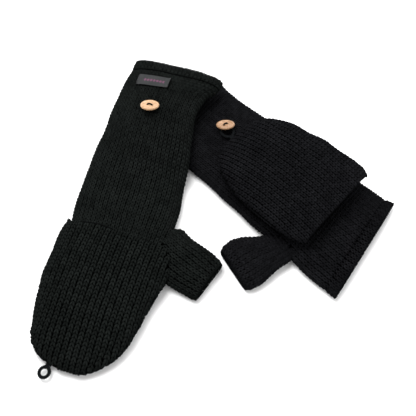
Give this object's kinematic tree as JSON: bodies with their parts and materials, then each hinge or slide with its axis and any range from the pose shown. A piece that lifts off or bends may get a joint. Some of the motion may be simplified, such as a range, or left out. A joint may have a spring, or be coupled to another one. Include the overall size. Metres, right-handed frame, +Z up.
{
  "type": "convertible flip-top mittens",
  "caption": "Pair of long knitted mittens with a hood that flips back off the open finger sleeve and hooks by a cord loop to a wooden button at the wrist.",
  "frame": {"origin": "centre of the pair's footprint, on the surface it rests on", "axes": "+Z up; +Y away from the viewer, towards the right-hand mitten's cuff; +X to the viewer's right, towards the left-hand mitten's fingers"},
  "size_m": [0.3236, 0.319, 0.047],
  "materials": {
    "wool_knit": "chunky knitted wool, near-black charcoal",
    "fleece": "brushed fleece",
    "yarn": "twisted wool yarn",
    "coconut_shell": "polished coconut shell",
    "label_cloth": "woven satin with a plain geometric pattern"
  },
  "bodies": {
    "left_hand": {"left_cuff_band": "wool_knit", "left_hand_shell": "wool_knit", "left_finger_sleeve": "wool_knit", "left_finger_band": "wool_knit", "left_hand_lining": "fleece", "left_hinge_seam": "yarn"},
    "left_thumb": {"left_thumb_shell": "wool_knit", "left_thumb_band": "wool_knit", "left_thumb_lining": "fleece"},
    "left_hood": {"left_hood_back": "wool_knit", "left_hood_palm": "wool_knit", "left_hood_seam": "yarn", "left_button_loop": "yarn"},
    "left_button": {"left_button": "coconut_shell", "left_button_thread": "yarn"},
    "right_hand": {"right_cuff_band": "wool_knit", "right_hand_shell": "wool_knit", "right_finger_sleeve": "wool_knit", "right_finger_band": "wool_knit", "right_hand_lining": "fleece", "right_hinge_seam": "yarn", "right_cuff_label": "label_cloth"},
    "right_thumb": {"right_thumb_shell": "wool_knit", "right_thumb_band": "wool_knit", "right_thumb_lining": "fleece"},
    "right_hood": {"right_hood_back": "wool_knit", "right_hood_palm": "wool_knit", "right_hood_seam": "yarn"},
    "right_loop": {"right_button_loop": "yarn"},
    "right_button": {"right_button": "coconut_shell", "right_button_thread": "yarn"}
  },
  "joints": [
    {"name": "left_hood_flip", "type": "hinge", "parent": "left_hand", "child": "left_hood", "pos_m": [0.0994, -0.00537, 0.0218], "axis": [0.6561, 0.7547, 0], "range_deg": [0, 175], "deforming": ["left_hood_palm", "left_hood_seam", "left_button_loop"]},
    {"name": "left_thumb_swing", "type": "hinge", "parent": "left_hand", "child": "left_thumb", "pos_m": [0.0611, -0.03038, 0.0086], "axis": [0, 0, 1], "range_deg": [-15, 15], "deforming": ["left_thumb_shell", "left_thumb_lining"]},
    {"name": "left_button_turn", "type": "hinge", "parent": "left_hand", "child": "left_button", "pos_m": [0.00677, 0.08231, 0.02283], "axis": [-0.0389, 0.5301, 0.847], "range_deg": [-60, 60]},
    {"name": "right_mitten_lift", "type": "slide", "parent": "left_hand", "child": "right_hand", "axis": [0, 0, 1], "range_m": [0, 0.15]},
    {"name": "right_hood_flip", "type": "hinge", "parent": "right_hand", "child": "right_hood", "pos_m": [-0.0896, -0.03037, 0.0263], "axis": [-0.9563, 0.2924, 0], "range_deg": [0, 170], "deforming": ["right_hood_palm", "right_hood_seam"]},
    {"name": "right_thumb_swing", "type": "hinge", "parent": "right_hand", "child": "right_thumb", "pos_m": [-0.05652, -0.03777, 0.0096], "axis": [0, 0, 1], "range_deg": [-20, 5], "deforming": ["right_thumb_shell", "right_thumb_lining"]},
    {"name": "right_loop_swing", "type": "hinge", "parent": "right_hood", "child": "right_loop", "pos_m": [-0.14517, -0.14817, 0.0061], "axis": [-0.9563, 0.2924, 0], "range_deg": [-30, 48]},
    {"name": "right_button_turn", "type": "hinge", "parent": "right_hand", "child": "right_button", "pos_m": [-0.06336, 0.09231, 0.04096], "axis": [0.0197, 0.4812, 0.8764], "range_deg": [-60, 60]}
  ]
}
